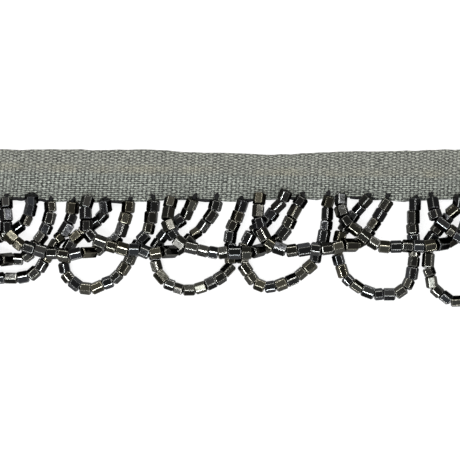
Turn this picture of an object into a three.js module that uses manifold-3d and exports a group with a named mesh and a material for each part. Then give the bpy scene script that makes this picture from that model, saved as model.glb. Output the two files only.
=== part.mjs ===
// A beaded fringe trim, lying face up on a table: a woven tape, and looped strings of six-sided glass
// beads that are sewn along the tape's lower edge.
// Sizes are millimetres. X runs along the tape, Y runs from the loops up to the tape, and Z is up.
// The middle of the tape's underside is the origin.
import * as THREE from "three";
import { mergeVertices } from "three/addons/utils/BufferGeometryUtils.js";
import Module from "manifold-3d";

const wasm = await Module();
wasm.setup();

// Tape
const TAPE_LENGTH = 160;
const TAPE_THICK = 1.1;
const SELVEDGE_THICK = 1.0;
const CREASE_THICK = 1.4;
const CREASE_REACH = 1.6; // from the crest of the lengthwise crease to where the cloth is flat again
const CREASE_MIDDLE = 0.25; // Y of the crest at the tape's middle
const CREASE_SLOPE = -0.0155; // the crease drifts from the upper to the lower half along the tape
const SELVEDGE_ROUND = 0.45;
const STATION = 5; // the tape and the strip have one cross-section every 5 mm

// Sewn strip that carries the strings
const STRIP_WIDE = 1.2;
const STRIP_THICK = 1.0;
const STRIP_GAP = 0.32;
const STITCH_WIDE = 0.7;
const RIGHT_LAP = 0.3; // from the strip's lower edge to where a right end starts inside it
const STITCH_INSET = 0.3; // from the strip's lower edge to the middle of a stitch
const STITCH_FOOT = 0.3; // height at which a stitch starts, inside the strip

// Beads and thread
const BEAD_PITCH = 2.72;
const BEAD_WIDE = 2.4;
const BEAD_HIGH = 2.1;
const THREAD_WIDE = 1.1;
const END_GAP = 0.14; // least distance from a thread joint to the end face of a bead
const CORNER_SPACE = 0.06; // left between the inner corners of two beads in a bend
const BEAD_UNEVEN = 0.04; // share by which the beads' widths vary
const UNEVEN_STEP = 2.4; // radians from one bead to the next in the wave that varies them

// Heights of a string's centre line
const ON_TABLE = BEAD_HIGH / 2;
const ON_TAPE = 2.7;
const ON_TOP = 3.7; // a string that lies over another one
const DIP_REACH = 1.5; // half the length over which a swag goes down from on top to the table
const CLIMB_SHARE = 0.25; // by this share of its length a swag has climbed on top

// The tape's upper and lower edge, one row for every 10 mm of its length
const EDGES = [
  { x: -80, top: 6.1, bottom: -5.9 },
  { x: -70, top: 6.0, bottom: -6.1 },
  { x: -60, top: 6.15, bottom: -5.9 },
  { x: -50, top: 6.2, bottom: -5.7 },
  { x: -40, top: 6.3, bottom: -6.4 },
  { x: -30, top: 6.1, bottom: -6.45 },
  { x: -20, top: 6.25, bottom: -6.3 },
  { x: -10, top: 5.6, bottom: -5.8 },
  { x: 0, top: 5.35, bottom: -6.3 },
  { x: 10, top: 5.1, bottom: -5.6 },
  { x: 20, top: 5.35, bottom: -5.6 },
  { x: 30, top: 5.85, bottom: -5.35 },
  { x: 40, top: 5.85, bottom: -6.05 },
  { x: 50, top: 6.25, bottom: -5.75 },
  { x: 60, top: 6.3, bottom: -5.9 },
  { x: 70, top: 6.2, bottom: -6.1 },
  { x: 80, top: 6.25, bottom: -5.9 },
];

// Swags are the shallow loops on top. A row gives X at the root, at SWAG_UPPER and at SWAG_KNEE on either
// side, three points of the low run between them, how far the left end laps over the tape,
// and the X at which the swag dips under the next one.
const SWAG_UPPER = -10;
const SWAG_KNEE = -14;
const SWAGS = [
  { left: [-73.0, -72.6, -70.5], low: [[-66.5, -17.6], [-58.0, -19.4], [-49.4, -19.8]],
    right: [-44.7, -43.1, -42.6], lap: 0.6, dip: -53.2 },
  { left: [-53.1, -53.2, -52.1], low: [[-48.6, -17.3], [-39.0, -18.9], [-30.7, -17.5]],
    right: [-26.3, -25.0, -24.0], lap: 0.4, dip: -34.0 },
  { left: [-33.9, -34.1, -33.3], low: [[-28.8, -16.5], [-22.3, -17.9], [-13.6, -17.9]],
    right: [-8.1, -5.2, -3.2], lap: 1.2, dip: -14.5 },
  { left: [-13.9, -14.9, -13.8], low: [[-10.5, -16.9], [-2.9, -18.3], [6.4, -18.0]],
    right: [12.5, 14.6, 17.5], lap: 0.8, dip: 6.7 },
  { left: [7.1, 6.4, 7.9], low: [[10.6, -17.0], [18.6, -17.9], [29.9, -16.9]],
    right: [33.5, 35.3, 37.6], lap: 1.2, dip: 29.8 },
  { left: [26.9, 26.8, 31.8], low: [[36.2, -16.7], [42.4, -16.7], [50.6, -16.5]],
    right: [55.2, 56.8, 58.2], lap: 0.5, dip: 51.3 },
  { left: [48.5, 49.4, 54.4], low: [[60.0, -17.0], [66.0, -18.2], [73.0, -17.2]],
    right: [76.6, 77.6, 78.4], lap: 0.2, dip: 70.0 },
];

// Drops are the deep loops, on the table. A row gives X at the root and at the four DROP_HEIGHTS on
// either side, three points of the bottom, and how far the left end laps over the tape.
const DROP_HEIGHTS = [-9.5, -12.6, -16.5, -21.5];
const DROPS = [
  { left: [-67.0, -68.2, -71.5, -76.5, -77.6], bottom: [[-76.3, -24.2], [-72.5, -25.8], [-67.0, -24.7]],
    right: [-64.2, -61.9, -59.2, -57.7, -57.0], lap: 0.5 },
  { left: [-47.1, -47.9, -51.0, -57.4, -58.9], bottom: [[-57.6, -23.7], [-54.3, -25.0], [-48.5, -24.0]],
    right: [-44.5, -42.1, -39.2, -37.6, -37.5], lap: 1.4 },
  { left: [-29.4, -29.9, -33.8, -38.3, -39.3], bottom: [[-37.5, -24.9], [-34.0, -27.3], [-28.6, -25.1]],
    right: [-25.0, -22.1, -19.7, -18.8, -18.1], lap: 0.3 },
  { left: [-8.5, -10.4, -14.4, -17.4, -17.1], bottom: [[-14.2, -25.4], [-10.3, -27.3], [-4.0, -25.5]],
    right: [-0.1, 0.0, 0.8, 1.9, 2.9], lap: 0.2 },
  { left: [13.5, 10.0, 6.4, 3.0, 3.4], bottom: [[5.4, -25.1], [8.4, -26.5], [15.1, -24.7]],
    right: [19.2, 21.6, 23.0, 23.3, 23.3], lap: 1.9 },
  { left: [32.8, 29.9, 26.8, 25.5, 26.1], bottom: [[29.2, -25.5], [34.8, -28.3], [41.0, -27.0]],
    right: [43.8, 44.2, 43.5, 43.7, 44.0], lap: 0.5 },
  { left: [55.0, 52.4, 49.4, 47.2, 47.4], bottom: [[49.1, -27.0], [54.5, -29.7], [61.5, -27.8]],
    right: [65.9, 66.6, 65.8, 65.2, 65.0], lap: 0.7 },
];

const clothGrey = new THREE.MeshStandardMaterial({ color: 0x82847c, roughness: 0.9, metalness: 0 });
const blackGlass = new THREE.MeshStandardMaterial({ color: 0x1b1c1e, roughness: 0.18, metalness: 0.6 });

// One of the tape's edges as a function of X: a smooth line through the rows of EDGES.
function edgeLine(side) {
  const line = new THREE.SplineCurve(EDGES.map((row) => new THREE.Vector2(row.x, row[side])));
  return (x) => line.getPoint(x / TAPE_LENGTH + 0.5).y;
}
const topEdge = edgeLine("top");
const bottomEdge = edgeLine("bottom");

// A closed body from rings of equally many points. Each ring runs counter-clockwise as seen from the
// last ring, looking back at the first, so that the faces point outwards.
function loft(rings) {
  const sides = rings[0].length;
  const index = [];
  for (let ring = 0; ring + 1 < rings.length; ring++) {
    for (let side = 0; side < sides; side++) {
      const a = ring * sides + side;
      const b = ring * sides + ((side + 1) % sides);
      index.push(a, b, b + sides, a, b + sides, a + sides);
    }
  }
  const last = (rings.length - 1) * sides;
  for (let side = 1; side + 1 < sides; side++) {
    index.push(0, side + 1, side);
    index.push(last, last + side, last + side + 1);
  }
  const values = rings.flat().flatMap((point) => point.toArray());
  const geometry = new THREE.BufferGeometry();
  geometry.setAttribute("position", new THREE.Float32BufferAttribute(values, 3));
  geometry.setIndex(index);
  return geometry;
}

// The X values of the cross-sections along the tape.
function stations() {
  const count = TAPE_LENGTH / STATION;
  return Array.from({ length: count + 1 }, (_, step) => step * STATION - TAPE_LENGTH / 2);
}

// The tape: flat below, with rounded selvedges and a soft crease along the upper face.
function tapeGeometry() {
  const rings = stations().map((x) => {
    const low = bottomEdge(x) + STRIP_WIDE + STRIP_GAP;
    const high = topEdge(x);
    const crease = CREASE_MIDDLE + CREASE_SLOPE * x;
    const profile = [
      [low, 0],
      [high, 0],
      [high, SELVEDGE_THICK],
      [high - SELVEDGE_ROUND, TAPE_THICK],
      [crease + CREASE_REACH, TAPE_THICK],
      [crease, CREASE_THICK],
      [crease - CREASE_REACH, TAPE_THICK],
      [low + SELVEDGE_ROUND, TAPE_THICK],
      [low, SELVEDGE_THICK],
    ];
    return profile.map(([y, z]) => new THREE.Vector3(x, y, z));
  });
  return loft(rings);
}

// The strip at the tape's lower edge.
function stripGeometry() {
  const rings = stations().map((x) => {
    const low = bottomEdge(x);
    const high = low + STRIP_WIDE;
    const profile = [[low, 0], [high, 0], [high, STRIP_THICK], [low, STRIP_THICK]];
    return profile.map(([y, z]) => new THREE.Vector3(x, y, z));
  });
  return loft(rings);
}

// A swag's height: on top of the others until it dips, and on the table after that.
function swagHeight(x, dip) {
  const fallen = THREE.MathUtils.smoothstep(x, dip - DIP_REACH, dip + DIP_REACH);
  return THREE.MathUtils.lerp(ON_TOP, ON_TABLE, fallen);
}

// The root of a string, on the strip. A left end lies on top of it, a right end comes from inside it.
function rootPoint(x, lap, height) {
  return new THREE.Vector3(x, bottomEdge(x) + lap, height);
}

// The route of a swag's thread, and its height above the table along it.
function swagRoute({ left, low, right, lap, dip }) {
  const points = [
    rootPoint(left[0], lap, ON_TAPE),
    new THREE.Vector3(left[1], SWAG_UPPER, ON_TOP),
    new THREE.Vector3(left[2], SWAG_KNEE, ON_TOP),
    ...low.map(([x, y]) => new THREE.Vector3(x, y, ON_TOP)),
    new THREE.Vector3(right[0], SWAG_KNEE, ON_TABLE),
    new THREE.Vector3(right[1], SWAG_UPPER, ON_TABLE),
    rootPoint(right[2], RIGHT_LAP, ON_TABLE),
  ];
  return { points, height: (p, share) => (share < CLIMB_SHARE ? p.z : swagHeight(p.x, dip)) };
}

// The route of a drop's thread. Only its left end is lifted, onto the strip.
function dropRoute({ left, bottom, right, lap }) {
  const points = [
    rootPoint(left[0], lap, ON_TAPE),
    ...DROP_HEIGHTS.map((y, row) => new THREE.Vector3(left[row + 1], y, ON_TABLE)),
    ...bottom.map(([x, y]) => new THREE.Vector3(x, y, ON_TABLE)),
    ...DROP_HEIGHTS.toReversed().map((y, row) => new THREE.Vector3(right[row], y, ON_TABLE)),
    rootPoint(right[4], RIGHT_LAP, ON_TABLE),
  ];
  return { points, height: (p) => Math.max(p.z, ON_TABLE) };
}

// The points where one bead of a string ends and the next begins, evenly spaced along its route.
function threadJoints({ points, height }) {
  const curve = new THREE.CatmullRomCurve3(points, false, "centripetal");
  const beads = Math.round(curve.getLength() / BEAD_PITCH);
  const joints = curve.getSpacedPoints(beads);
  joints.forEach((joint, step) => {
    joint.z = height(joint, step / beads);
  });
  return joints;
}

// A four-sided ring around a centre, upright, and square to the direction in the plane of the table.
function ring(centre, direction, wide, high) {
  const side = new THREE.Vector3(direction.y, -direction.x, 0).normalize().multiplyScalar(wide / 2);
  const up = new THREE.Vector3(0, 0, high / 2);
  const corner = (a, b) => centre.clone().addScaledVector(side, a).addScaledVector(up, b);
  return [corner(1, -1), corner(-1, -1), corner(-1, 1), corner(1, 1)];
}

// A string of beads: four-sided beads, with the thread showing as a narrow neck between them.
function stringGeometry(joints) {
  const beads = joints.length - 1;
  const along = (step) => joints[step + 1].clone().sub(joints[step]).normalize();
  const turn = (step) => along(step - 1).angleTo(along(step));
  const setback = (step) => {
    const bend = step > 0 && step < beads ? turn(step) : 0;
    return Math.max(END_GAP, (BEAD_WIDE / 2) * Math.tan(bend / 2) + CORNER_SPACE);
  };
  const rings = [ring(joints[0], along(0), THREAD_WIDE, THREAD_WIDE)];
  for (let step = 0; step < beads; step++) {
    const direction = along(step);
    const wide = BEAD_WIDE * (1 + BEAD_UNEVEN * Math.sin(UNEVEN_STEP * step));
    const start = joints[step].clone().addScaledVector(direction, setback(step));
    const end = joints[step + 1].clone().addScaledVector(direction, -setback(step + 1));
    const next = step + 1 < beads ? along(step + 1) : direction;
    rings.push(ring(start, direction, wide, BEAD_HIGH));
    rings.push(ring(end, direction, wide, BEAD_HIGH));
    rings.push(ring(joints[step + 1], direction.clone().add(next), THREAD_WIDE, THREAD_WIDE));
  }
  return loft(rings);
}

// A stitch that ties the first bead of a string down to the strip.
function stitchGeometry(joints) {
  const edge = bottomEdge(joints[0].x) + STITCH_INSET;
  const share = (joints[0].y - edge) / (joints[0].y - joints[1].y);
  const top = joints[0].clone().lerp(joints[1], THREE.MathUtils.clamp(share, 0, 1));
  const tall = top.z - STITCH_FOOT;
  const stitch = new THREE.BoxGeometry(STITCH_WIDE, STITCH_WIDE, tall);
  return stitch.translate(top.x, edge, STITCH_FOOT + tall / 2);
}

// A geometry as a solid that can be joined to others.
function solidOf(geometry) {
  const bare = geometry.clone();
  bare.deleteAttribute("normal");
  bare.deleteAttribute("uv");
  const merged = mergeVertices(bare);
  const vertProperties = merged.attributes.position.array;
  const triVerts = new Uint32Array(merged.index.array);
  return new wasm.Manifold(new wasm.Mesh({ numProp: 3, vertProperties, triVerts }));
}

// A joined solid back as a geometry.
function geometryOf(solid) {
  const { vertProperties, triVerts } = solid.getMesh();
  const geometry = new THREE.BufferGeometry();
  geometry.setAttribute("position", new THREE.BufferAttribute(vertProperties, 3));
  geometry.setIndex(new THREE.BufferAttribute(triVerts, 1));
  return geometry;
}

// The strings joined to the strip that carries them.
function fringeGeometry() {
  let fringe = solidOf(stripGeometry());
  for (const route of [...SWAGS.map(swagRoute), ...DROPS.map(dropRoute)]) {
    const joints = threadJoints(route);
    fringe = fringe.add(solidOf(stringGeometry(joints))).add(solidOf(stitchGeometry(joints)));
  }
  return geometryOf(fringe);
}

function namedMesh(name, geometry, material) {
  const mesh = new THREE.Mesh(geometry, material);
  mesh.name = name;
  return mesh;
}

const trim = new THREE.Group();
trim.add(namedMesh("tape", tapeGeometry(), clothGrey));
trim.add(namedMesh("bead_fringe", fringeGeometry(), blackGlass));

export default trim;
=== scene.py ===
# %% [markdown]
# # A beaded fringe trim
# The trim is a narrow woven tape with looped strings of six-sided black glass beads sewn along its
# lower edge. Seven shallow swags lie over seven deeper drops. It lies face up on a table, and the
# camera looks straight down at it. This first step loads the imported model.

# %% Load the imported model
import math

import bpy
import numpy as np
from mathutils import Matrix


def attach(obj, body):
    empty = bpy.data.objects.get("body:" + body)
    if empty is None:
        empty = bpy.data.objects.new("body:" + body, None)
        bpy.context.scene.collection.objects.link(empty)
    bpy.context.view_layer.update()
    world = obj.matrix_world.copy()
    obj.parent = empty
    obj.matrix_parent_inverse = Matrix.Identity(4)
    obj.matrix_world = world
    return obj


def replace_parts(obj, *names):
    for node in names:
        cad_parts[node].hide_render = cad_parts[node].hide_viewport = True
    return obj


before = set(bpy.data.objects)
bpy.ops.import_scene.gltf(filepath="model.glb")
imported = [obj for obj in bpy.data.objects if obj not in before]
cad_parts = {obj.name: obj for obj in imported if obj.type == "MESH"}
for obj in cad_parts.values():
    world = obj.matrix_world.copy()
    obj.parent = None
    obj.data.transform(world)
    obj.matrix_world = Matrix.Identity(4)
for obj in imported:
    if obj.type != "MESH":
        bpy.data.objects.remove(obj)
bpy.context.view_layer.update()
MM = 0.001

# %% [markdown]
# The photo takes in 109.5 mm of the tape, with the loops hanging down the picture. A camera straight
# above shows that. A short lens near the beads would show their sides towards the picture's edges,
# which the photo doesn't, so a long lens stands well back instead.

# %% Camera
VIEW_WIDE = 109.5 * MM
VIEW_CENTRE = (0.0, -12.98 * MM)
SHARP_HEIGHT = 1.5 * MM  # the height at which VIEW_WIDE is measured
LENS = 135.0
SENSOR = 36.0


def camera_above():
    """A camera over VIEW_CENTRE; its height is the width it takes in times lens over sensor."""
    data = bpy.data.cameras.new("camera_above")
    data.lens = LENS
    data.sensor_width = SENSOR
    camera = bpy.data.objects.new("camera_above", data)
    height = SHARP_HEIGHT + VIEW_WIDE * LENS / SENSOR
    camera.location = (*VIEW_CENTRE, height)
    bpy.context.scene.collection.objects.link(camera)
    bpy.context.scene.camera = camera
    print("camera height in mm", round(height / MM, 1))


camera_above()

# %% [markdown]
# Black glass shows little but what it mirrors, so the lights are laid out for the beads. A square box
# almost overhead and a small spot turn the facets that face them white. A ring of eight narrow boxes
# lower down puts thin white lines on edges. Two wide dim panels and a dim room give the other facets
# their olive and bluish greys. One large soft light would be simpler, but then every facet that faces
# up would be the same grey.

# %% Lights
LIGHT_AIM = (0.0, -12.0 * MM, 0.0)
RING_TILTS = [46, 46, 46, 46, 48, 58, 58, 48]
RING_START, RING_STEP = 22, 45  # azimuths in degrees
ROOM = (0.30, 0.30, 0.28, 1.0)


def softbox(name, azimuth, tilt, distance, wide, tall, radiance, colour):
    """A lit rectangle that faces LIGHT_AIM from distance away, tilt degrees from straight up and
    azimuth degrees round from +X. Its power is radiance times pi times its area."""
    data = bpy.data.lights.new(name, "AREA")
    data.shape = "RECTANGLE"
    data.size = wide
    data.size_y = tall
    data.energy = radiance * math.pi * wide * tall
    data.color = colour
    lamp = bpy.data.objects.new(name, data)
    turn, lean = math.radians(azimuth), math.radians(tilt)
    way = (math.sin(lean) * math.cos(turn), math.sin(lean) * math.sin(turn), math.cos(lean))
    lamp.location = [aim + distance * share for aim, share in zip(LIGHT_AIM, way)]
    lamp.rotation_euler = (lean, 0.0, turn + math.pi / 2)
    bpy.context.scene.collection.objects.link(lamp)


# azimuth, tilt, distance, width, height, radiance, colour
softbox("overhead", 252, 17, 0.80, 0.16, 0.16, 28.0, (0.90, 0.96, 1.0))
softbox("spot_left", 200, 30, 0.80, 0.05, 0.05, 80.0, (0.97, 0.99, 1.0))
for side, tilt in enumerate(RING_TILTS):
    azimuth = RING_START + RING_STEP * side
    softbox(f"ring_{side + 1}", azimuth, tilt, 0.80, 0.42, 0.04, 16.0, (0.98, 0.99, 1.0))
softbox("panel_far", 90, 38, 0.95, 1.2, 0.75, 0.78, (1.0, 0.98, 0.86))
softbox("panel_near", 265, 40, 0.95, 0.7, 0.40, 0.65, (0.85, 0.93, 1.0))

world = bpy.data.worlds.new("dark_room")
world.use_nodes = True
world.node_tree.nodes["Background"].inputs["Color"].default_value = ROOM
bpy.context.scene.world = world
bpy.context.scene.view_settings.view_transform = "Standard"

# %% [markdown]
# The table is a white light table. Its glow keeps the gaps between the strings almost as white as the
# rest, with faint shadows round the beads. A plain white table would need stronger lights for that, and
# the beads would mirror them.

# %% Table
TABLE_HALF = 0.6
TABLE_WHITE = (0.28, 0.28, 0.28, 1.0)
TABLE_GLOW = 0.80


def principled(name, values):
    """A new material, its node tree and its Principled shader with the given inputs set."""
    material = bpy.data.materials.new(name)
    material.use_nodes = True
    shader = material.node_tree.nodes["Principled BSDF"]
    for key, value in values.items():
        shader.inputs[key].default_value = value
    return material, material.node_tree, shader


def table_white():
    """A matt white that gives off TABLE_GLOW of light by itself."""
    values = {"Base Color": TABLE_WHITE, "Roughness": 0.9, "Emission Color": (1.0, 1.0, 1.0, 1.0),
              "Emission Strength": TABLE_GLOW}
    return principled("table_white", values)[0]


def table_top():
    """A square of side 2 TABLE_HALF at height 0."""
    half = TABLE_HALF
    mesh = bpy.data.meshes.new("table_top")
    mesh.from_pydata([(-half, -half, 0), (half, -half, 0), (half, half, 0), (-half, half, 0)],
                     [], [(0, 1, 2, 3)])
    table = bpy.data.objects.new("table_top", mesh)
    table.data.materials.append(table_white())
    bpy.context.scene.collection.objects.link(table)


table_top()

# %% [markdown]
# Every piece of the trim is a mesh worked out as whole arrays and handed to Blender in one go.
# Modifiers could bend and repeat a simple shape, but not place its points one by one. piece() hands the
# arrays over, ties the mesh to the model's one body and gives it its material. carry() adds numbers for
# the materials to read.

# %% Mesh helpers


def piece(name, points, faces, material, normals=None):
    """points is (n, 3) in millimetres. Each face is a list of points, counter-clockwise from outside.
    normals, one per point, say how the surface shades where that isn't the plain average."""
    mesh = bpy.data.meshes.new(name)
    mesh.from_pydata((np.asarray(points) * MM).tolist(), [], [list(face) for face in faces])
    mesh.polygons.foreach_set("use_smooth", np.ones(len(mesh.polygons), bool))
    mesh.update()
    if normals is not None:
        mesh.normals_split_custom_set_from_vertices(normals.tolist())
    mesh.materials.append(material)
    made = bpy.data.objects.new(name, mesh)
    bpy.context.scene.collection.objects.link(made)
    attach(made, "root")
    return made


def carry(made, name, domain, values):
    """Stores a number for each point or corner of the mesh."""
    numbers = made.data.attributes.new(name, "FLOAT", domain)
    numbers.data.foreach_set("value", values.ravel().astype(np.float32))


def grid_faces(rows, columns, close_rows=False, close_columns=False):
    """Faces of a grid of points numbered row by row: (r, c), (r, c + 1), (r + 1, c + 1), (r + 1, c)."""
    row = np.arange(rows if close_rows else rows - 1)[:, None]
    column = np.arange(columns if close_columns else columns - 1)[None, :]
    below, beside = (row + 1) % rows, (column + 1) % columns
    corners = (row * columns + column, row * columns + beside,
               below * columns + beside, below * columns + column)
    return np.stack(np.broadcast_arrays(*corners), axis=-1).reshape(-1, 4)


def unit(vectors):
    """Each vector over its own length."""
    return vectors / np.linalg.norm(vectors, axis=-1, keepdims=True)


def cubic(start, end, leave, arrive, t):
    """The cubic in t that goes from start at 0 to end at 1, with the slopes leave and arrive there."""
    return ((2 * start - 2 * end + leave + arrive) * t**3
            + (3 * end - 3 * start - 2 * leave - arrive) * t**2 + leave * t + start)


# %% [markdown]
# The tape's edges are not straight: the cloth is soft, and the stitching draws it in here and there.
# Random waves would do for a tape by itself, but here the roots of the strings follow the edge. So both
# edges are read off the photo every 10 mm, and a smooth line runs through the readings.

# %% The tape's edges
TAPE_HALF = 80.0
EDGE_TOP = np.array([6.1, 6.0, 6.15, 6.2, 6.3, 6.1, 6.25, 5.6, 5.35, 5.1, 5.35, 5.85, 5.85, 6.25, 6.3,
                     6.2, 6.25])
EDGE_BOTTOM = np.array([-5.9, -6.1, -5.9, -5.7, -6.4, -6.45, -6.3, -5.8, -6.3, -5.6, -5.6, -5.35, -6.05,
                        -5.75, -5.9, -6.1, -5.9])


def edge_line(readings, x):
    """A uniform Catmull-Rom line through readings evenly spaced from -TAPE_HALF to TAPE_HALF. Each
    span is a cubic whose end slopes are half the difference of its neighbours."""
    spans = len(readings) - 1
    place = np.clip((np.asarray(x, float) / TAPE_HALF + 1) / 2 * spans, 0, spans)
    span = np.minimum(place.astype(int), spans - 1)
    t = place - span
    padded = np.concatenate([readings[:1], readings, readings[-1:]])
    before, start, end, after = (padded[span + k] for k in range(4))
    return cubic(start, end, (end - before) / 2, (after - start) / 2, t)


print("tape width in mm at the readings", (EDGE_TOP - EDGE_BOTTOM).round(2).tolist())

# %% [markdown]
# Each string is one thread. A swag starts on top of the tape, runs down, along and up again over the
# strings beside it, and then dips under the next swag. A drop does the same lower down, flat on the
# table. The points below are where each thread passes, in millimetres, from its left root to its
# right one. The X values belong to fixed heights, which makes a row easy to compare with the photo.

# %% Where the threads pass
SWAG_UPPER, SWAG_KNEE = -10.0, -14.0
SWAGS = [
    # left X at root, upper and knee; three low points; right X at knee, upper and root; lap; dip
    ([-73.0, -72.6, -70.5], [(-66.5, -17.6), (-58.0, -19.4), (-49.4, -19.8)],
     [-44.7, -43.1, -42.6], 0.6, -53.2),
    ([-53.1, -53.2, -52.1], [(-48.6, -17.3), (-39.0, -18.9), (-30.7, -17.5)],
     [-26.3, -25.0, -24.0], 0.4, -34.0),
    ([-33.9, -34.2, -33.6], [(-29.2, -16.9), (-22.3, -17.9), (-13.6, -17.9)],
     [-8.1, -5.2, -3.2], 1.2, -14.5),
    ([-13.9, -14.9, -13.8], [(-10.5, -16.9), (-2.9, -18.3), (6.4, -18.0)],
     [12.5, 14.6, 17.5], 0.8, 6.7),
    ([7.1, 6.4, 7.9], [(10.6, -17.0), (18.6, -17.6), (27.6, -16.8)],
     [32.8, 35.1, 37.6], 1.2, 29.8),
    ([26.8, 26.3, 31.3], [(36.0, -16.8), (42.4, -16.7), (50.1, -16.3)],
     [54.9, 56.7, 58.2], 0.5, 51.3),
    ([48.1, 48.9, 54.0], [(59.7, -17.0), (66.0, -18.2), (73.0, -17.2)],
     [76.6, 77.6, 78.4], 0.2, 70.0),
]
DROP_HEIGHTS = [-9.5, -12.6, -16.5, -21.5]
DROPS = [
    # left X at root and at the four heights; three bottom points; right X at the heights and root; lap
    ([-67.0, -68.2, -71.5, -76.5, -77.6], [(-76.3, -24.2), (-72.5, -25.8), (-67.0, -24.7)],
     [-64.2, -61.9, -59.2, -57.7, -57.0], 0.5),
    ([-47.1, -47.9, -51.0, -57.4, -58.9], [(-57.6, -23.5), (-54.3, -24.6), (-48.5, -23.9)],
     [-44.5, -42.1, -39.2, -37.6, -37.5], 1.4),
    ([-29.4, -29.9, -33.8, -38.3, -39.6], [(-37.9, -25.1), (-34.2, -27.3), (-28.6, -25.1)],
     [-25.0, -22.1, -19.7, -18.8, -18.1], 0.3),
    ([-8.5, -10.4, -14.4, -17.6, -17.5], [(-14.7, -25.8), (-10.6, -27.6), (-4.0, -25.5)],
     [0.1, -0.1, 0.8, 1.9, 2.9], 0.2),
    ([13.5, 10.0, 6.4, 3.2, 3.2], [(5.4, -25.1), (8.4, -26.5), (15.1, -24.7)],
     [19.2, 21.6, 23.0, 23.3, 23.3], 1.9),
    ([32.8, 29.9, 26.8, 25.5, 26.1], [(29.2, -25.5), (34.8, -28.3), (41.2, -27.4)],
     [44.0, 43.9, 43.5, 43.7, 44.0], 0.5),
    ([55.0, 52.4, 49.4, 47.2, 47.2], [(48.7, -27.3), (54.1, -30.0), (61.5, -27.8)],
     [65.9, 66.6, 65.8, 65.2, 65.0], 0.7),
]
RIGHT_LAP = 0.3
ON_TABLE, ON_TAPE, ON_TOP = 1.05, 2.7, 3.7  # heights of a thread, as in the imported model
GLASS_HEIGHTS = [1.46, 2.75, 4.5]  # the same three for the beads, which are thicker than the solids
DIP_REACH = 1.5  # half the length in which a swag falls from on top to the table
CLIMB_SHARE = 0.25  # the first part of a swag, which only climbs
print("swags", len(SWAGS), "drops", len(DROPS))

# %% [markdown]
# A thread lies in smooth curves. Plain splines through its points bulge where the points crowd
# together. The centripetal kind doesn't, because it gives each span a time in step with the root of
# its length.

# %% A thread through its points


def smooth_route(points, fine=48):
    """A centripetal Catmull-Rom curve: each span is a cubic in time, its time is the square root of
    its length, and its end slopes come from the three chords round it. fine points a span."""
    points = np.asarray(points, float)
    ends = (2 * points[0] - points[1], 2 * points[-1] - points[-2])
    padded = np.vstack([ends[0], points, ends[1]])
    before, start, end, after = (padded[k:len(padded) - 3 + k] for k in range(4))
    time = [np.sqrt(np.linalg.norm(b - a, axis=1))[:, None]
            for a, b in ((before, start), (start, end), (end, after))]
    leave = (start - before) / time[0] - (end - before) / (time[0] + time[1]) + (end - start) / time[1]
    arrive = (end - start) / time[1] - (after - start) / (time[1] + time[2]) + (after - end) / time[2]
    spans = (values[:, None] for values in (start, end, leave * time[1], arrive * time[1]))
    curve = cubic(*spans, (np.arange(fine) / fine)[None, :, None])
    return np.vstack([curve.reshape(-1, 3), points[-1:]])


def evenly_spaced(curve, count):
    """count + 1 points at equal lengths along a curve of many points."""
    travelled = np.concatenate([[0], np.cumsum(np.linalg.norm(np.diff(curve, axis=0), axis=1))])
    wanted = np.linspace(0, travelled[-1], count + 1)
    return np.stack([np.interp(wanted, travelled, curve[:, axis]) for axis in range(3)], axis=1)


def root(x, lap, height):
    """A point lap above the tape's lower edge."""
    return (x, float(edge_line(EDGE_BOTTOM, x)) + lap, height)


# %% [markdown]
# The beads are 2.72 mm apart, so a string has as many beads as that goes into its thread. Everything
# else on a string is built from the joints between its beads. Beads could be set along the curve one
# after another, but equal steps end exactly at the root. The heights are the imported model's at first,
# and are raised at the end, because real beads are thicker than its solids.

# %% The joints between beads
BEAD_PITCH = 2.72


def joints_along(points):
    """Evenly spaced joints along the smooth route through points, BEAD_PITCH apart or nearly."""
    curve = smooth_route(points)
    length = np.linalg.norm(np.diff(curve, axis=0), axis=1).sum()
    return evenly_spaced(curve, round(length / BEAD_PITCH))


def swag_joints(row):
    """Joints of a swag. It is ON_TOP until its dip, then falls to the table by the smooth step
    3 t squared - 2 t cubed."""
    left, low, right, lap, dip = row
    points = [root(left[0], lap, ON_TAPE), (left[1], SWAG_UPPER, ON_TOP), (left[2], SWAG_KNEE, ON_TOP)]
    points += [(x, y, ON_TOP) for x, y in low]
    points += [(right[0], SWAG_KNEE, ON_TABLE), (right[1], SWAG_UPPER, ON_TABLE)]
    points += [root(right[2], RIGHT_LAP, ON_TABLE)]
    joints = joints_along(points)
    share = np.linspace(0, 1, len(joints))
    fall = np.clip((joints[:, 0] - dip + DIP_REACH) / (2 * DIP_REACH), 0, 1)
    fall = fall * fall * (3 - 2 * fall)
    joints[:, 2] = np.where(share < CLIMB_SHARE, joints[:, 2], ON_TOP + (ON_TABLE - ON_TOP) * fall)
    return joints


def drop_joints(row):
    """Joints of a drop. All but its left root is at the table's height."""
    left, bottom, right, lap = row
    flat = [*zip(left[1:], DROP_HEIGHTS), *bottom, *zip(right, DROP_HEIGHTS[::-1])]
    points = [root(left[0], lap, ON_TAPE)] + [(x, y, ON_TABLE) for x, y in flat]
    points += [root(right[4], RIGHT_LAP, ON_TABLE)]
    joints = joints_along(points)
    joints[:, 2] = np.maximum(joints[:, 2], ON_TABLE)
    return joints


def raised(joints):
    """The joints at the beads' own heights: ON_TABLE, ON_TAPE and ON_TOP become GLASS_HEIGHTS, and
    what lies between is in proportion."""
    heights = np.interp(joints[:, 2], [ON_TABLE, ON_TAPE, ON_TOP], GLASS_HEIGHTS)
    return np.column_stack([joints[:, :2], heights])


strings = {f"swag_{k + 1}": raised(swag_joints(row)) for k, row in enumerate(SWAGS)}
strings |= {f"drop_{k + 1}": raised(drop_joints(row)) for k, row in enumerate(DROPS)}
print("beads", {name: len(joints) - 1 for name, joints in strings.items()})

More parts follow.
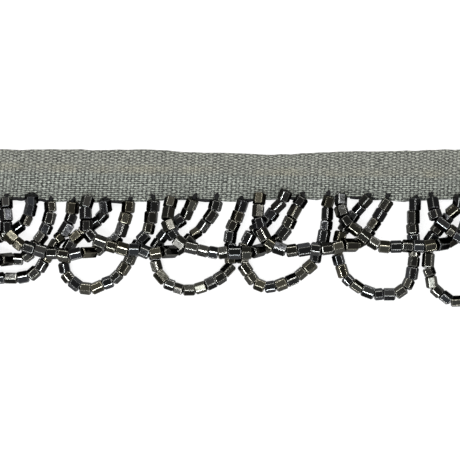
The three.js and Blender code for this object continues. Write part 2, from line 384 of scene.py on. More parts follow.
# %% [markdown]
# Glass, thread and cloth get their looks from shader nodes. Nodes can be wired one by one, but the
# formula gets lost among the links. These helpers make one node each and return its output, so that a
# material reads like a formula.

# %% Node helpers


def node(tree, kind, values=None, **settings):
    """A node of that kind with its settings and the input values given by name or number."""
    made = tree.nodes.new(kind)
    for key, value in settings.items():
        setattr(made, key, value)
    for key, value in (values or {}).items():
        made.inputs[key].default_value = value
    return made


def reach(tree, value, socket):
    """Feeds an input from another node's output, or sets it to a plain value."""
    if isinstance(value, bpy.types.NodeSocket):
        tree.links.new(value, socket)
    else:
        socket.default_value = value


def maths(tree, operation, *values):
    """A Math node's output; each value is a number or another node's output."""
    made = tree.nodes.new("ShaderNodeMath")
    made.operation = operation
    for value, socket in zip(values, made.inputs):
        reach(tree, value, socket)
    return made.outputs[0]


def blend(tree, share, first, second):
    """first where share is 0, second where it is 1."""
    return maths(tree, "MULTIPLY_ADD", share, maths(tree, "SUBTRACT", second, first), first)


def colour_mix(tree, share, first, second):
    """first where share is 0, second where it is 1. A Mix node's colours are its inputs 6 and 7 and
    its output 2."""
    made = node(tree, "ShaderNodeMix", data_type="RGBA")
    reach(tree, share, made.inputs[0])
    reach(tree, first, made.inputs[6])
    reach(tree, second, made.inputs[7])
    return made.outputs[2]


def attribute(tree, name):
    """A number that the mesh carries under that name."""
    return node(tree, "ShaderNodeAttribute", attribute_name=name).outputs["Fac"]


def object_place(tree):
    """The place on the object, in metres from its origin."""
    return node(tree, "ShaderNodeTexCoord").outputs["Object"]


def noise(tree, place, scale, detail=1.0):
    """Noise from 0 to 1 at a place, with scale lumps to a unit of it."""
    made = node(tree, "ShaderNodeTexNoise", {"Scale": scale, "Detail": detail})
    tree.links.new(place, made.inputs["Vector"])
    return made.outputs["Fac"]


def ramp(tree, value, low, high, to_low=0.0, to_high=1.0):
    """value from low to high, stretched to run smoothly from to_low to to_high."""
    limits = {"From Min": low, "From Max": high, "To Min": to_low, "To Max": to_high}
    made = node(tree, "ShaderNodeMapRange", limits, interpolation_type="SMOOTHSTEP")
    tree.links.new(value, made.inputs["Value"])
    return made.outputs["Result"]


def bumped(tree, shader, height, values):
    """Bends the shader's normal by the slope of height."""
    bump = node(tree, "ShaderNodeBump", values)
    tree.links.new(height, bump.inputs["Height"])
    tree.links.new(bump.outputs["Normal"], shader.inputs["Normal"])


# %% [markdown]
# The beads are black glass with a dark lustre, somewhere between steel and bronze, and no two are
# quite alike. Plain black glass would mirror white alone. A lustre mirrors like a metal of very low
# brightness, so the shader is a dark metal. Each bead carries its own tone as an attribute, and a
# second attribute says where its edges get a painted highlight, a bright colour that shines like a lit
# line. The flats are a little wavy.

# %% Bead glass
STEEL = (0.033, 0.034, 0.037, 1.0)
BRONZE = (0.055, 0.052, 0.040, 1.0)
# painted highlight colours for the bright edge lines, steel and bronze
PAINTED_HIGHLIGHT_STEEL = (0.66, 0.67, 0.67, 1.0)
PAINTED_HIGHLIGHT_BRONZE = (0.70, 0.65, 0.51, 1.0)
GLANCING_TINT = (0.6, 0.6, 0.6, 1.0)
GLASS_ROUGHNESS = 0.12
WAVES = {"Strength": 0.18, "Distance": 0.00012}
WAVE_SCALE = 900.0
FLAT_LIMIT = 0.15  # where the edge attribute is beyond this, the waves are gone


def bead_glass():
    """The colour goes from steel to bronze by tone, and from the plain one to the painted highlight by
    edge. The flats are bent by noise, less and less as edge goes from 0 to FLAT_LIMIT."""
    values = {"Metallic": 1.0, "Specular Tint": GLANCING_TINT, "Roughness": GLASS_ROUGHNESS}
    material, tree, shader = principled("bead_glass", values)
    tone, edge = attribute(tree, "tone"), attribute(tree, "edge")
    body = colour_mix(tree, tone, STEEL, BRONZE)
    painted_highlight = colour_mix(tree, tone, PAINTED_HIGHLIGHT_STEEL, PAINTED_HIGHLIGHT_BRONZE)
    # edge blends each face from its body colour to the painted highlight
    tree.links.new(colour_mix(tree, edge, body, painted_highlight), shader.inputs["Base Color"])
    wave = noise(tree, object_place(tree), WAVE_SCALE, 2.0)
    flat_only = ramp(tree, edge, 0.0, FLAT_LIMIT, 1.0, 0.0)
    bumped(tree, shader, maths(tree, "MULTIPLY", wave, flat_only), WAVES)
    return material


glass = bead_glass()

# %% [markdown]
# A bead is a short six-sided tube with its edges polished round. It shows crisp flats with a thin
# bright line between them. That could be modelled with many faces on each edge. One bevel face does
# as well if the points of a flat all shade like the flat, and the bevel blends between two. The beads
# low on the drops are a little smaller than the others, as in the photo.

# %% The shape of one bead
FLAT = 1.33  # from the axis to a flat, for a bead low on a drop
FLAT_GAIN = 0.09  # how much more it is for beads on the swags and near the tape
GAIN_HEIGHTS = (-21.0, -17.0)  # the Y values between which that sets in
EDGE_CUT = 0.17  # how much of each flat's end a bevel takes
RIM = 0.34  # how long the rounding at an end is
RIM_DROP = 0.33  # how much it takes off the width
HOLE = 0.42
SIX = np.radians(60) * np.arange(6)


def bead_outline():
    """The twelve corners of a hexagon with its corners cut, one unit from the axis to a flat, and
    which way each corner faces. Flat k is (1, -s) to (1, s) turned by 60 k degrees, and s is the
    tangent of 30 degrees less the cut."""
    s = math.tan(math.radians(30)) - EDGE_CUT / FLAT
    turn = np.repeat(SIX, 2)
    side = np.tile([-s, s], 6)
    across, up = np.cos(turn), np.sin(turn)
    outline = np.stack([across - side * up, up + side * across], axis=1)
    return outline, np.stack([across, up], axis=1)


def bead_shapes(flats, lengths):
    """Points and normals of many beads, (bead, ring, corner, 3), along Z from -length/2 to length/2.
    The six rings go up the outside, over the top rim, down the hole and over the bottom rim."""
    outline, facing = bead_outline()
    half = lengths[:, None] / 2
    places = np.concatenate([RIM - half, half - RIM, half, half, -half, -half], axis=1)
    shoulder, hole = flats - RIM_DROP, 0 * flats + HOLE
    radii = np.stack([flats, flats, shoulder, hole, hole, shoulder], axis=1)
    flat_part = radii[:, :, None, None] * outline[None, None]
    along = np.broadcast_to(places[:, :, None, None], flat_part.shape[:3] + (1,))
    points = np.concatenate([flat_part, along], axis=-1)
    sideways = np.array([1, 1, 0, 0, 0, 0])[:, None, None] * facing[None]
    endways = np.array([0, 0, 1, 1, -1, -1])[:, None, None] * np.ones((1, len(outline), 1))
    normals = np.concatenate([sideways, endways], axis=-1)
    return points, np.broadcast_to(normals[None], points.shape)


# %% [markdown]
# The beads sit loose on the thread. Copies of one bead along a curve would all be alike, so here each
# one has its own roll, and small differences of place, size and lean. In a bend the inner corners of
# two beads meet first, so a bead stops a little further from the joint there. A bead never goes into
# the table.

# %% Stringing the beads
END_GAP = -0.08  # less than nothing, because the hollow ends nest a little
BEND_GAP = 0.1  # the share of the inner corners' reach that is added to it in a bend
WANDER = np.array([0.19, 0.19, 0.057])  # how far a joint strays, sideways and up
LEAN = np.array([0.075, 0.075, 0.0375])  # how far a bead leans from its chord
SIZE_SPREAD = 0.06  # as a share of the size
LENGTH_SPREAD = 0.05
TONE_MIDDLE, TONE_SPREAD = 0.3, 0.4  # 0 is steel and 1 is bronze
TABLE_CLEAR = 0.01


def strung_beads(joints, rng):
    """Points (bead, ring, corner, 3), normals and tones of the beads between joints. A bead's frame is
    its chord, the level direction across it, and their product, turned by its roll."""
    beads = len(joints) - 1
    joints = joints + WANDER * rng.normal(size=joints.shape)
    chord = np.diff(joints, axis=0)
    along = unit(chord)
    bend = np.arccos(np.clip((along[1:] * along[:-1]).sum(axis=1), -1, 1))
    bend = np.concatenate([[0], bend, [0]])
    gain = FLAT_GAIN * np.interp(joints[:-1, 1], GAIN_HEIGHTS, [0, 1])
    flats = (FLAT + gain) * (1 + SIZE_SPREAD * rng.uniform(-1, 1, beads))
    back = END_GAP + BEND_GAP * FLAT * np.tan(bend / 2)
    lengths = np.linalg.norm(chord, axis=1) - back[:-1] - back[1:]
    lengths = lengths - LENGTH_SPREAD * rng.uniform(0, 1, beads)
    middle = (joints[:-1] + joints[1:]) / 2 + along * ((back[:-1] - back[1:]) / 2)[:, None]
    along = unit(along + LEAN * rng.normal(size=along.shape))
    level = unit(np.cross([0.0, 0.0, 1.0], along))
    upright = np.cross(along, level)
    roll = rng.uniform(0, math.pi / 3, beads)[:, None]
    first = level * np.cos(roll) + upright * np.sin(roll)
    second = upright * np.cos(roll) - level * np.sin(roll)
    axes = np.stack([first, second, along], axis=1)
    points, normals = bead_shapes(flats, lengths)
    points = np.einsum("brck,bkj->brcj", points, axes) + middle[:, None, None]
    normals = np.einsum("brck,bkj->brcj", normals, axes)
    low = points[..., 2].min(axis=(1, 2))
    points[..., 2] += np.maximum(TABLE_CLEAR - low, 0)[:, None, None]
    tones = np.clip(rng.normal(TONE_MIDDLE, TONE_SPREAD, beads), 0, 1)
    return points, normals, tones


# %% [markdown]
# The bright lines on the beads are painted highlights: some edge faces get a bright colour that
# shines like a lit line. A mask painted by hand would do for one bead. For hundreds, each edge face
# draws how much highlight it gets, and only edges that face up, towards the lights, show it. Beads
# near the tape get less, as painted shade there.

# %% Painted highlights on the edges
PAINTED_HIGHLIGHT_POWER = 0.7  # above 1, fewer edges get the painted highlight
RIM_PAINTED_HIGHLIGHT = 0.45  # painted highlight of an end's rim next to that of a long edge
UP_GAIN, UP_START = 2.2, 0.9  # how the painted highlight shows as a face turns upward, towards the lights
TAPE_SHADE_HEIGHTS, HIGHLIGHT_IN_TAPE_SHADE = (-13.0, -7.5), 0.4  # the Y values between which that sets in; there the painted highlight is less, as painted shade near the tape
BEAD_SEED = 6


def face_painted_highlight(joints, rings, corners, rng):
    """Painted highlight of each face, (bead, face): the face's share, times a random number to the
    power set above, times the bead's share, lower near the tape as painted shade. Faces on odd columns
    of row 0 are the long edges, rows 1 and 5 the rims."""
    row, column = np.divmod(np.arange(rings * corners), corners)
    rim = np.where((row == 1) | (row == rings - 1), RIM_PAINTED_HIGHLIGHT, 0.0)
    share = np.where((row == 0) & (column % 2 == 1), 1.0, rim)
    highlight_share = share[None] * rng.uniform(0, 1, (len(joints) - 1, rings * corners)) ** PAINTED_HIGHLIGHT_POWER
    return highlight_share * np.interp(joints[:-1, 1:2], TAPE_SHADE_HEIGHTS, [1, HIGHLIGHT_IN_TAPE_SHADE])


def bead_string(name, joints, rng):
    """One string's beads as one mesh, each with the faces of a closed 6 by 12 grid. A face's edge value
    at a corner, its painted highlight, is its share of highlight times UP_GAIN z - UP_START, from 0 to
    1, z being the normal's."""
    points, normals, tones = strung_beads(joints, rng)
    beads, rings, corners = points.shape[:3]
    normals = normals.reshape(-1, 3)
    one = grid_faces(rings, corners, close_rows=True, close_columns=True)
    faces = (one[None] + (np.arange(beads) * rings * corners)[:, None, None]).reshape(-1, 4)
    made = piece(f"{name}_beads", points.reshape(-1, 3), faces, glass, normals)
    carry(made, "tone", "POINT", np.repeat(tones, rings * corners))
    # the painted highlight shows only on faces that turn up, towards the lights
    upward = np.clip(normals[faces, 2] * UP_GAIN - UP_START, 0, 1)
    highlight_share = face_painted_highlight(joints, rings, corners, rng).reshape(-1, 1)
    carry(made, "edge", "CORNER", highlight_share * upward)
    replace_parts(made, "bead_fringe")
    return beads


rng = np.random.default_rng(BEAD_SEED)
count = sum(bead_string(name, joints, rng) for name, joints in strings.items())
print("beads in all", count)

# %% [markdown]
# The thread is black and fills the bead holes. It shows only between beads and at the roots, so it
# could be left out elsewhere. One unbroken tube for each string is simpler, and is how it is sewn.

# %% Thread
THREAD_RADIUS = 0.36
NUDGE = np.array([1e-9, 0.0, 0.0])
THREAD_BLACK = (0.011, 0.011, 0.012, 1.0)
THREAD_GLOSS = 0.15
FIBRE_SCALE = 4000.0
FIBRE_ROUGHNESS = (0.5, 0.75)


def thread_black():
    """A dull black. Noise takes its roughness from one of FIBRE_ROUGHNESS to the other."""
    values = {"Base Color": THREAD_BLACK, "Specular IOR Level": THREAD_GLOSS}
    material, tree, shader = principled("thread_black", values)
    fibre = noise(tree, object_place(tree), FIBRE_SCALE)
    tree.links.new(blend(tree, fibre, *FIBRE_ROUGHNESS), shader.inputs["Roughness"])
    return material


def tube(path, radius, sides=8):
    """Points and faces of a round tube along a path, (step, side). A circle at each step stands
    square to the path's direction there. Each end is closed by a ring of no width. NUDGE gives a step
    that goes straight up a level direction too."""
    path = np.asarray(path, float)
    along = unit(np.gradient(path, axis=0))
    level = unit(np.cross([0.0, 0.0, 1.0], along) + NUDGE)
    upright = np.cross(along, level)
    turn = (2 * math.pi * np.arange(sides) / sides)[None, :, None]
    circle = level[:, None] * np.cos(turn) + upright[:, None] * np.sin(turn)
    body = path[:, None] + radius * circle
    first, last = np.repeat(path[:1, None], sides, axis=1), np.repeat(path[-1:, None], sides, axis=1)
    shut = np.concatenate([first, body, last])
    return shut.reshape(-1, 3), grid_faces(len(shut), sides, close_columns=True)


def together(parts):
    """Several (points, faces) as one."""
    starts = np.cumsum([0] + [len(points) for points, _ in parts[:-1]])
    points = np.concatenate([points for points, _ in parts])
    return points, np.concatenate([faces + start for (_, faces), start in zip(parts, starts)])


black_thread = thread_black()


def thread_piece(name, points, faces):
    """A piece of black thread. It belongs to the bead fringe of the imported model."""
    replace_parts(piece(name, points, faces, black_thread), "bead_fringe")


for name, joints in strings.items():
    thread_piece(f"{name}_thread", *tube(smooth_route(joints, fine=4), THREAD_RADIUS))
print("threads", len(strings))

# %% [markdown]
# At each root the thread goes up over the tape's edge and ends in a small knot. A knot can be a lump,
# but at this size it still shows its turns, so it is a trefoil: one line that winds three times round
# and through itself. Between some roots the thread runs on along the edge in plain view.

# %% Knots and running stitches
KNOT_SIZE = 0.165
KNOT_THREAD = 0.17
KNOT_HEIGHT = 1.25
KNOT_LAPS = (0.7, 1.5)  # least and greatest distance of a knot from the tape's lower edge
KNOT_SHIFT = 0.4  # how far to either side of its root a knot may be
KNOT_GROWTH = (0.85, 1.2)
LEAD_SHARE = 0.35  # where the thread leaves the root, as a share of the knot's distance
HIDDEN_LAP = 0.6  # a root bead further than this over the tape hides its knot
RUNS = [(-52.0, -48.8), (-45.7, -42.4), (-29.0, -24.3), (-8.1, -3.6), (3.1, 6.2), (14.3, 16.7),
        (28.6, 34.5), (55.4, 58.0), (-66.6, -63.0)]
RUN_LAP = 0.12
RUN_THREAD = 0.36
RUN_HEIGHT = 0.95
RUN_STEPS = 24
RUN_SWAY, RUN_RIPPLE = 0.12, 0.08  # how far a run waves sideways, and up and down
KNOT_SEED = 11


def knot(centre, turn, size):
    """A trefoil (sin t + 2 sin 2t, cos t - 2 cos 2t, -sin 3t), turned and scaled, as a closed tube."""
    t = np.linspace(0, 2 * math.pi, 40)
    x, y, z = np.sin(t) + 2 * np.sin(2 * t), np.cos(t) - 2 * np.cos(2 * t), -np.sin(3 * t)
    cosine, sine = math.cos(turn), math.sin(turn)
    spin = np.array([[cosine, sine, 0], [-sine, cosine, 0], [0, 0, 1]])
    return tube(np.asarray(centre) + size * np.stack([x, y, z], axis=1) @ spin, KNOT_THREAD, 6)


def root_knot(joint, rng):
    """The knot above one root, with the thread that leads to it over the tape's edge."""
    lap = rng.uniform(*KNOT_LAPS)
    x = joint[0] + rng.uniform(-KNOT_SHIFT, KNOT_SHIFT)
    centre = root(x, lap, KNOT_HEIGHT)
    leave = (joint[0], joint[1] + LEAD_SHARE * lap, joint[2])
    lead = smooth_route([joint, leave, centre], fine=6)
    turns = knot(centre, rng.uniform(0, 2), KNOT_SIZE * rng.uniform(*KNOT_GROWTH))
    return together([turns, tube(lead, THREAD_RADIUS)])


def running_stitch(start, end, rng):
    """A slack thread along the tape's lower edge: a sine of 4 to 8 radians sideways, and a cosine of
    5 radians up and down."""
    x = np.linspace(start, end, RUN_STEPS)
    sway = np.sin(np.linspace(0, rng.uniform(4, 8), RUN_STEPS) + rng.uniform(0, 3))
    y = edge_line(EDGE_BOTTOM, x) + RUN_LAP + RUN_SWAY * sway
    z = RUN_HEIGHT + RUN_RIPPLE * np.cos(np.linspace(0, 5, RUN_STEPS))
    return tube(np.stack([x, y, z], axis=1), RUN_THREAD)


rng = np.random.default_rng(KNOT_SEED)
laps = {name: row[3] for name, row in zip(strings, SWAGS + DROPS)}
shown_roots = [joints[-1] for joints in strings.values()]
shown_roots += [joints[0] for name, joints in strings.items() if laps[name] < HIDDEN_LAP]
thread_piece("root_knots", *together([root_knot(joint, rng) for joint in shown_roots]))
thread_piece("running_stitches", *together([running_stitch(*run, rng) for run in RUNS]))
print("knots", len(shown_roots), "runs", len(RUNS))

# %% [markdown]
# In a plain weave each lengthwise yarn goes over one crosswise yarn and under the next, and its
# neighbours do the opposite. The yarns here are coarse enough to see. Each could be a tube of its own,
# but only the face shows, so its height at any place is enough.

# %% Height of the weave
ROWS, COLUMNS = 30, 170  # lengthwise and crosswise yarns
CROSSWISE_LOWER, CROSSWISE_UPPER = 0.5, 0.3  # how high the crosswise yarns come, next to the others
CROSSWISE_SEAM = 0.5
SEAM_LOWER, SEAM_UPPER = 1.5, 0.6  # powers that make the dips between lengthwise yarns wider


def weave_height(a, b, upper):
    """Plain weave at place a, b counted in yarns, with whole parts c and r. A lengthwise yarn is
    (1 + sin pi(a + r)) / 2 times sin pi b to the power seam, and a crosswise one the opposite. upper
    is 0 below the crease and 1 above it."""
    share = CROSSWISE_LOWER + (CROSSWISE_UPPER - CROSSWISE_LOWER) * upper
    seam = SEAM_LOWER + (SEAM_UPPER - SEAM_LOWER) * upper
    lengthwise = (1 + np.sin(math.pi * (a + np.floor(b)))) / 2
    lengthwise = lengthwise * np.abs(np.sin(math.pi * b)) ** seam
    crosswise = (1 - np.sin(math.pi * (b + np.floor(a)))) / 2
    crosswise = crosswise * np.abs(np.sin(math.pi * a)) ** CROSSWISE_SEAM
    return np.maximum(lengthwise, share * crosswise)


# %% [markdown]
# The tape has the same thirty lengthwise yarns all along, and below the crease they lie wider apart. No
# two yarns are equally wide and none runs quite straight, or the cloth would look printed. A bump map
# could fake the relief, but it would show no height at the edges. So the mesh is a grid that follows
# the yarns.

# %% Tape shape
YARN_SEED = 3
UNEVEN = 0.22  # how much the widths of yarns differ
STRAY, STRAY_LENGTH = 0.05, 2.3  # how far a lengthwise yarn strays, and how often it turns
STRAY_PLACES, STRAY_GAINS = [0, 1.5, ROWS - 1.5, ROWS], [2.4, 1, 1, 1.4]  # more at the selvedges
LOWER_ROWS = 12.5  # lengthwise yarns in the lower half of the width
FINE_ROW, FINE_COLUMN = 3, 4  # points to a yarn
LEAN_LEFT, LEAN_RIGHT = 0.12, 0.02  # lean of the crosswise yarns at either end
SQUARE_END = 8  # the lean fades out in the outermost eighth of either half
TAPE_TOP = 0.95
RELIEF = 0.13
SELVEDGE = 0.5  # how far in its round reaches
SELVEDGE_FOOT = 0.35  # where the round of a selvedge starts, as a share of the height
RELIEF_START = 0.2  # the relief fades out this close to an edge
TAPE_CLEAR = 0.02
CREASE_MIDDLE, CREASE_SLOPE, CREASE_REACH, CREASE_RISE = 0.25, -0.0155, 1.6, 0.25
CREASE_BLUR = 1.2  # the width in which the lower weave gives way to the upper one


def crease_line(x):
    """Y of the crease: a straight line that drifts from the upper half to the lower one."""
    return CREASE_MIDDLE + CREASE_SLOPE * x


def uneven(count, rng):
    """count + 1 places from 0 to count, whose steps differ from 1 by up to UNEVEN."""
    places = np.cumsum(np.append(0.0, 1 + UNEVEN * rng.uniform(-1, 1, count)))
    return places * count / places[-1]


def stray(along, b, rng):
    """How far each lengthwise yarn strays sideways, at a length along it and a place b across the
    yarns: random values STRAY_LENGTH apart on each yarn, with straight lines between them both ways."""
    far = along / STRAY_LENGTH
    values = STRAY * rng.normal(size=(int(far.max()) + 2, int(b.max()) + 2))
    k, r = far.astype(int), b.astype(int)
    s, t = far - k, b - r
    return ((1 - s) * ((1 - t) * values[k, r] + t * values[k, r + 1])
            + s * ((1 - t) * values[k + 1, r] + t * values[k + 1, r + 1]))


def tape_plan(a, b):
    """X and Y of the places a, b counted in yarns, and how far inside the nearer edge each one is. Y
    is in proportion between the edges, and X leans by a share of the distance from the middle."""
    rng = np.random.default_rng(YARN_SEED)
    column = np.interp(a, np.arange(COLUMNS + 1), uneven(COLUMNS, rng))
    row = np.interp(b, np.arange(ROWS + 1), uneven(ROWS, rng))
    start_x = TAPE_HALF * (2 * column / COLUMNS - 1)
    v = np.interp(row, [0, LOWER_ROWS, ROWS], [0, 0.5, 1])
    low, high = edge_line(EDGE_BOTTOM, start_x), edge_line(EDGE_TOP, start_x)
    y = low + (high - low) * v
    inside = np.minimum(y - low, high - y)
    y = y + stray(start_x + TAPE_HALF, b, rng) * np.interp(b, STRAY_PLACES, STRAY_GAINS)
    side = (start_x / TAPE_HALF + 1) / 2
    lean = LEAN_LEFT + (LEAN_RIGHT - LEAN_LEFT) * side
    lean = lean * np.clip((1 - np.abs(start_x) / TAPE_HALF) * SQUARE_END, 0, 1)
    return start_x + lean * (y - (low + high) / 2), y, inside


def tape_grid():
    """Points (along a, across b) of the upper face and their places in yarns. Height is a quarter
    circle at each selvedge, a cosine hump at the crease, and the weave's relief on top."""
    a = np.linspace(0, COLUMNS, COLUMNS * FINE_COLUMN + 1)[:, None]
    b = np.linspace(0, ROWS, ROWS * FINE_ROW + 1)[None, :]
    x, y, inside = tape_plan(a, b)
    round_off = np.sqrt(1 - (1 - np.clip(inside / SELVEDGE, 0, 1)) ** 2)
    share = SELVEDGE_FOOT + (1 - SELVEDGE_FOOT) * round_off
    crease = np.clip(np.abs(y - crease_line(x)) / CREASE_REACH, 0, 1)
    z = TAPE_CLEAR + (TAPE_TOP - TAPE_CLEAR) * share
    z = z + CREASE_RISE * (1 + np.cos(math.pi * crease)) / 2
    above = np.clip((y - crease_line(x)) / CREASE_BLUR + 0.5, 0, 1)
    z = z + RELIEF * weave_height(a, b, above) * np.clip(inside / RELIEF_START, 0, 1)
    return np.stack([x, y, z], axis=-1), np.stack(np.broadcast_arrays(a, b), axis=-1)


# %% [markdown]
# Underneath, the tape is flat on the table, so few points do. A thin sheet could be thickened by a
# modifier instead, but it would copy every point of the relief to the back. The lower face shares the
# selvedges with the upper one, and a single face closes each cut end.

# %% Tape piece
UNDER_STEP = 6  # the under face has every sixth row of points


def tape_cloth(material):
    """The upper grid and a coarser under face, joined round the rim. The weave's places go into a UV
    map, and the distances from the lower edge and the crease into attributes."""
    upper, yarns = tape_grid()
    under = upper.copy()
    under[..., 2] = TAPE_CLEAR
    columns, rows = upper.shape[:2]
    coarse = np.unique(np.append(np.arange(0, rows, UNDER_STEP), rows - 1))
    under, under_yarns = under[:, coarse[::-1]], yarns[:, coarse[::-1]]
    ring = np.concatenate([upper, under], axis=1)
    places = np.concatenate([yarns, under_yarns], axis=1)
    points = ring.reshape(-1, 3)
    faces = grid_faces(*ring.shape[:2], close_columns=True).tolist()
    around = np.arange(ring.shape[1])
    faces += [around[::-1].tolist(), (around + (columns - 1) * ring.shape[1]).tolist()]
    made = piece("tape_cloth", points, faces, material)
    corner = np.empty(len(made.data.loops), np.int32)
    made.data.loops.foreach_get("vertex_index", corner)
    chart = places.reshape(-1, 2)[corner].astype(np.float32)
    made.data.uv_layers.new(name="yarns").uv.foreach_set("vector", chart.ravel())
    x, y = points[:, 0], points[:, 1]
    carry(made, "selvedge_mm", "POINT", y - edge_line(EDGE_BOTTOM, x))
    carry(made, "above_crease_mm", "POINT", y - crease_line(x))
    return made


# %% [markdown]
# The colour follows the same yarns. A picture of cloth could be wrapped round the tape, but a formula
# stays sharp at any distance. The weave is worked out again in a node group, with pinholes that are
# too small for the mesh. It gives the height of the cloth's face and a lightness for each yarn.

# %% Plain weave
HOLE_POWER = 3.0
TONE_STRETCH = 0.3  # a yarn's lightness changes slowly along it
ROW_SKIP, COLUMN_SKIP = 7.3, 5.1  # steps in the noise from yarn to yarn, so that no two are alike


def weave_group():
    """The formula of weave_height in nodes, less a pinhole where the gaps between yarns cross: the
    product of two raised cosines to HOLE_POWER. Each yarn's lightness is noise along it."""
    group = bpy.data.node_groups.new("plain_weave", "ShaderNodeTree")
    for label in ("Along", "Across", "Crosswise", "Seam", "Hole"):
        group.interface.new_socket(label, in_out="INPUT", socket_type="NodeSocketFloat")
    for label in ("Height", "Yarn Tone"):
        group.interface.new_socket(label, in_out="OUTPUT", socket_type="NodeSocketFloat")
    source, target = group.nodes.new("NodeGroupInput"), group.nodes.new("NodeGroupOutput")
    a, b = source.outputs["Along"], source.outputs["Across"]
    share, seam, hole = (source.outputs[label] for label in ("Crosswise", "Seam", "Hole"))
    c, r = maths(group, "FLOOR", a), maths(group, "FLOOR", b)

    def yarn(place, other_whole, across, sign, power):
        """(1 + sign sin pi(place + other_whole)) / 2, times sin pi across to the power."""
        turn = maths(group, "MULTIPLY", maths(group, "ADD", place, other_whole), math.pi)
        rise = maths(group, "MULTIPLY_ADD", maths(group, "SINE", turn), 0.5 * sign, 0.5)
        half_turn = maths(group, "MULTIPLY", maths(group, "FRACT", across), math.pi)
        section = maths(group, "POWER", maths(group, "SINE", half_turn), power)
        return maths(group, "MULTIPLY", rise, section)

    def hole_line(place):
        """(1 + cos 2 pi place) / 2, to HOLE_POWER."""
        turn = maths(group, "MULTIPLY", place, 2 * math.pi)
        raised_cosine = maths(group, "MULTIPLY_ADD", maths(group, "COSINE", turn), 0.5, 0.5)
        return maths(group, "POWER", raised_cosine, HOLE_POWER)

    def yarn_tone(first, second):
        """Noise at (first, second)."""
        place = node(group, "ShaderNodeCombineXYZ")
        group.links.new(first, place.inputs["X"])
        group.links.new(second, place.inputs["Y"])
        return noise(group, place.outputs["Vector"], 1.0)

    lengthwise = yarn(a, r, b, 1.0, seam)
    crosswise = maths(group, "MULTIPLY", yarn(b, c, a, -1.0, CROSSWISE_SEAM), share)
    on_top = maths(group, "GREATER_THAN", lengthwise, crosswise)
    slow_a, slow_b = (maths(group, "MULTIPLY", place, TONE_STRETCH) for place in (a, b))
    row_tone = yarn_tone(slow_a, maths(group, "MULTIPLY", r, ROW_SKIP))
    column_tone = yarn_tone(maths(group, "MULTIPLY", c, COLUMN_SKIP), slow_b)
    corner = maths(group, "MULTIPLY", hole_line(a), hole_line(b))
    pinhole = maths(group, "MULTIPLY", corner, hole)
    height = maths(group, "SUBTRACT", maths(group, "MAXIMUM", lengthwise, crosswise), pinhole)
    group.links.new(height, target.inputs["Height"])
    group.links.new(blend(group, on_top, column_tone, row_tone), target.inputs["Yarn Tone"])
    return group


weave = weave_group()

# %% [markdown]
# The cloth is darker in the dips of the weave and in its pinholes, which is painted shade, and varies
# from yarn to yarn. Light and shadow alone would show that only faintly, so the lightness is worked
# out from the weave's height too. Small flecks break up the evenness of the formula. The sewn edge is
# dark in places and frayed lighter in others.

# %% Lightness of the cloth
HOLE_LOWER, HOLE_UPPER = 1.6, 0.7
DEPTH_LOWER, DEPTH_UPPER = 2.7, 1.85  # how strongly height shows as lightness, a painted shade in the dips
MIDDLE_LOWER, MIDDLE_UPPER = 0.41, 0.44  # the height whose lightness is 1
WARM_FLATTER = 0.4  # how much less strongly the weave shows in a warm patch
FLECK_SCALE, FLECK_NOISE = 3600.0, (0.3, 0.7)
FLECK_LOWER, FLECK_UPPER = 1.7, 1.2
TONE_REACH = 0.8
FRAY_SCALE, FRAY_NOISE = 110.0, (0.42, 0.52)
SEWN_NEAR, SEWN_FAR = 0.15, 1.1  # distances from the edge between which the sewn edge fades
SEWN_DARK, SEWN_FRAYED = 0.6, 1.35
DARKEST = 0.12


def woven(tree, upper):
    """Height and yarn tone of the weave at the UV map's place, by the lower zone's values where upper
    is 0 and by the upper zone's where it is 1."""
    yarns = node(tree, "ShaderNodeUVMap", uv_map="yarns")
    split = node(tree, "ShaderNodeSeparateXYZ")
    tree.links.new(yarns.outputs["UV"], split.inputs["Vector"])
    cloth = node(tree, "ShaderNodeGroup")
    cloth.node_tree = weave
    tree.links.new(split.outputs["X"], cloth.inputs["Along"])
    tree.links.new(split.outputs["Y"], cloth.inputs["Across"])
    zones = {"Crosswise": (CROSSWISE_LOWER, CROSSWISE_UPPER), "Seam": (SEAM_LOWER, SEAM_UPPER),
             "Hole": (HOLE_LOWER, HOLE_UPPER)}
    for label, values in zones.items():
        tree.links.new(blend(tree, upper, *values), cloth.inputs[label])
    return cloth.outputs["Height"], cloth.outputs["Yarn Tone"]


def lightness(tree, place, height, yarn_tone, upper, warm):
    """1, plus height from the middle times depth, a painted shade that darkens the dips, plus flecks,
    plus the yarn's tone, times the sewn edge's share. Depth is less in the warm patches."""
    depth = blend(tree, upper, DEPTH_LOWER, DEPTH_UPPER)
    depth = maths(tree, "MULTIPLY", depth, maths(tree, "MULTIPLY_ADD", warm, -WARM_FLATTER, 1.0))
    middle = blend(tree, upper, MIDDLE_LOWER, MIDDLE_UPPER)
    # painted shade: the lower parts of the weave are darker
    relief = maths(tree, "MULTIPLY", maths(tree, "SUBTRACT", height, middle), depth)
    fleck = ramp(tree, noise(tree, place, FLECK_SCALE, 2.0), *FLECK_NOISE, -0.5, 0.5)
    fleck = maths(tree, "MULTIPLY", fleck, blend(tree, upper, FLECK_LOWER, FLECK_UPPER))
    tone = maths(tree, "MULTIPLY_ADD", yarn_tone, TONE_REACH, -TONE_REACH / 2)
    total = maths(tree, "ADD", maths(tree, "ADD", relief, fleck), maths(tree, "ADD", tone, 1.0))
    frayed = ramp(tree, noise(tree, place, FRAY_SCALE), *FRAY_NOISE)
    at_edge = blend(tree, frayed, SEWN_DARK, SEWN_FRAYED)
    sewn = blend(tree, ramp(tree, attribute(tree, "selvedge_mm"), SEWN_NEAR, SEWN_FAR), at_edge, 1.0)
    return maths(tree, "MULTIPLY", maths(tree, "MAXIMUM", total, DARKEST), sewn)


# %% [markdown]
# Above the crease the cloth is slightly warmer, with beige patches near it. Below it the grey is cooler
# and the weave shows more strongly. One plain grey would do from far off, but the photo is close enough
# to show both, so a ragged line along the crease parts two sets of values.

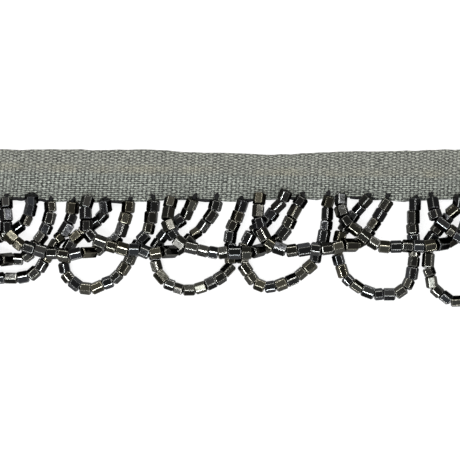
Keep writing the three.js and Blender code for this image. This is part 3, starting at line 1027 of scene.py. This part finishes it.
# %% Tape cloth material
UPPER_GREY = (0.1605, 0.1625, 0.1435, 1.0)
LOWER_GREY = (0.153, 0.1605, 0.1435, 1.0)
WARM_PATCH = (0.183, 0.1785, 0.145, 1.0)
ZONE_SCALE, ZONE_SPREAD, ZONE_EDGE = 500.0, 2.4, 0.6  # how ragged the line between the zones is
WARM_CENTRE, WARM_NEAR, WARM_FAR = 0.9, 0.3, 1.6  # distances from the crease
WARM_SCALE, WARM_NOISE = 120.0, (0.38, 0.62)
CLOTH_ROUGHNESS, CLOTH_SHEEN = 0.9, 0.15
CLOTH_BUMP = {"Strength": 0.6, "Distance": 0.00010}


def warm_patches(tree, place, above):
    """1 in the beige patches: near WARM_CENTRE above the crease, and where slow noise is high."""
    off_centre = maths(tree, "ABSOLUTE", maths(tree, "SUBTRACT", above, WARM_CENTRE))
    near = ramp(tree, off_centre, WARM_NEAR, WARM_FAR, 1.0, 0.0)
    return maths(tree, "MULTIPLY", near, ramp(tree, noise(tree, place, WARM_SCALE, 2.0), *WARM_NOISE))


def tape_grey():
    """The zones' grey with its warm patches, times the lightness."""
    values = {"Roughness": CLOTH_ROUGHNESS, "Sheen Weight": CLOTH_SHEEN}
    material, tree, shader = principled("tape_grey", values)
    place, above = object_place(tree), attribute(tree, "above_crease_mm")
    lumps = noise(tree, place, ZONE_SCALE, 3.0)
    ragged = maths(tree, "MULTIPLY_ADD", lumps, ZONE_SPREAD, -ZONE_SPREAD / 2)
    upper = ramp(tree, maths(tree, "ADD", above, ragged), -ZONE_EDGE, ZONE_EDGE)
    height, yarn_tone = woven(tree, upper)
    warm = warm_patches(tree, place, above)
    grey = colour_mix(tree, upper, LOWER_GREY, UPPER_GREY)
    grey = colour_mix(tree, warm, grey, WARM_PATCH)
    shade = node(tree, "ShaderNodeVectorMath", operation="SCALE")
    tree.links.new(grey, shade.inputs[0])
    tree.links.new(lightness(tree, place, height, yarn_tone, upper, warm), shade.inputs["Scale"])
    tree.links.new(shade.outputs["Vector"], shader.inputs["Base Color"])
    bumped(tree, shader, height, CLOTH_BUMP)
    return material


tape = tape_cloth(tape_grey())
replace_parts(tape, "tape")
print("tape faces", len(tape.data.polygons))
